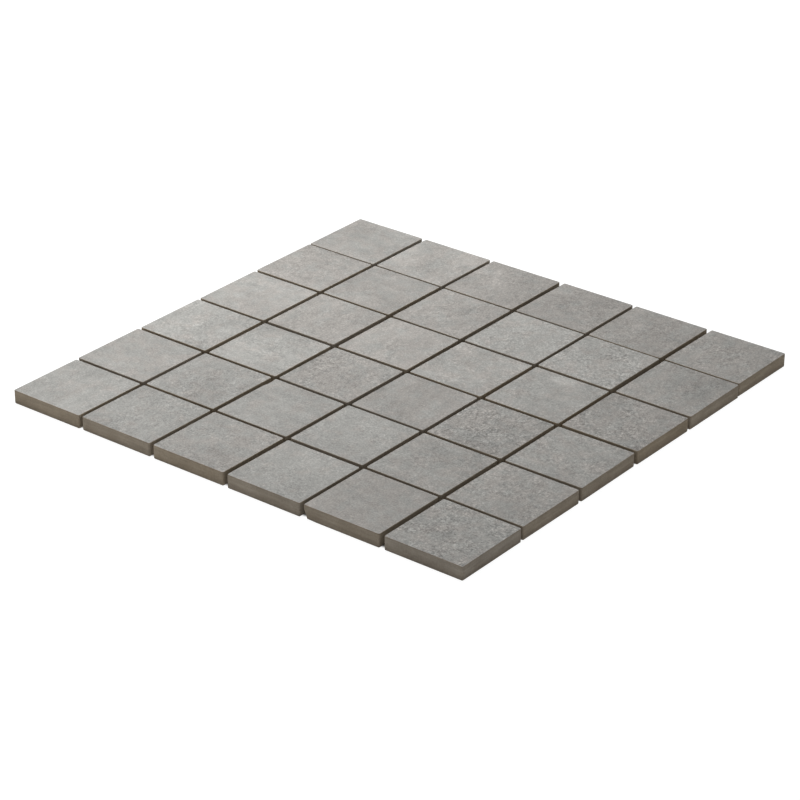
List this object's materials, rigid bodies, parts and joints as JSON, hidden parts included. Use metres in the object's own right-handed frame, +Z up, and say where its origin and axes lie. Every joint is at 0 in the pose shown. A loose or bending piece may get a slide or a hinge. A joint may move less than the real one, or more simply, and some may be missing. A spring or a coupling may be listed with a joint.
{
  "type": "mosaic tile sheet",
  "caption": "Square sheet of concrete-look porcelain mosaic chips laid in straight rows on a woven backing net, with open joints.",
  "frame": {"origin": "under the middle of the sheet, on the underside of the backing net", "axes": "+Z up out of the chips' faces, +X across the columns, +Y across the rows; the picture looks from -Y and +X, so its lower left edge is -Y and its lower right edge is +X"},
  "size_m": [0.3011, 0.2974, 0.0085],
  "materials": {
    "porcelain": "matt",
    "glass_fibre_net": "woven"
  },
  "bodies": {
    "root": {"chip_r1_c1": "porcelain", "chip_r1_c2": "porcelain", "chip_r1_c3": "porcelain", "chip_r1_c4": "porcelain", "chip_r1_c5": "porcelain", "chip_r1_c6": "porcelain", "chip_r2_c1": "porcelain", "chip_r2_c2": "porcelain", "chip_r2_c3": "porcelain", "chip_r2_c4": "porcelain", "chip_r2_c5": "porcelain", "chip_r2_c6": "porcelain", "chip_r3_c1": "porcelain", "chip_r3_c2": "porcelain", "chip_r3_c3": "porcelain", "chip_r3_c4": "porcelain", "chip_r3_c5": "porcelain", "chip_r3_c6": "porcelain", "chip_r4_c1": "porcelain", "chip_r4_c2": "porcelain", "chip_r4_c3": "porcelain", "chip_r4_c4": "porcelain", "chip_r4_c5": "porcelain", "chip_r4_c6": "porcelain", "chip_r5_c1": "porcelain", "chip_r5_c2": "porcelain", "chip_r5_c3": "porcelain", "chip_r5_c4": "porcelain", "chip_r5_c5": "porcelain", "chip_r5_c6": "porcelain", "chip_r6_c1": "porcelain", "chip_r6_c2": "porcelain", "chip_r6_c3": "porcelain", "chip_r6_c4": "porcelain", "chip_r6_c5": "porcelain", "chip_r6_c6": "porcelain", "net_warp_yarns": "glass_fibre_net", "net_weft_yarns": "glass_fibre_net"}
  },
  "joints": []
}
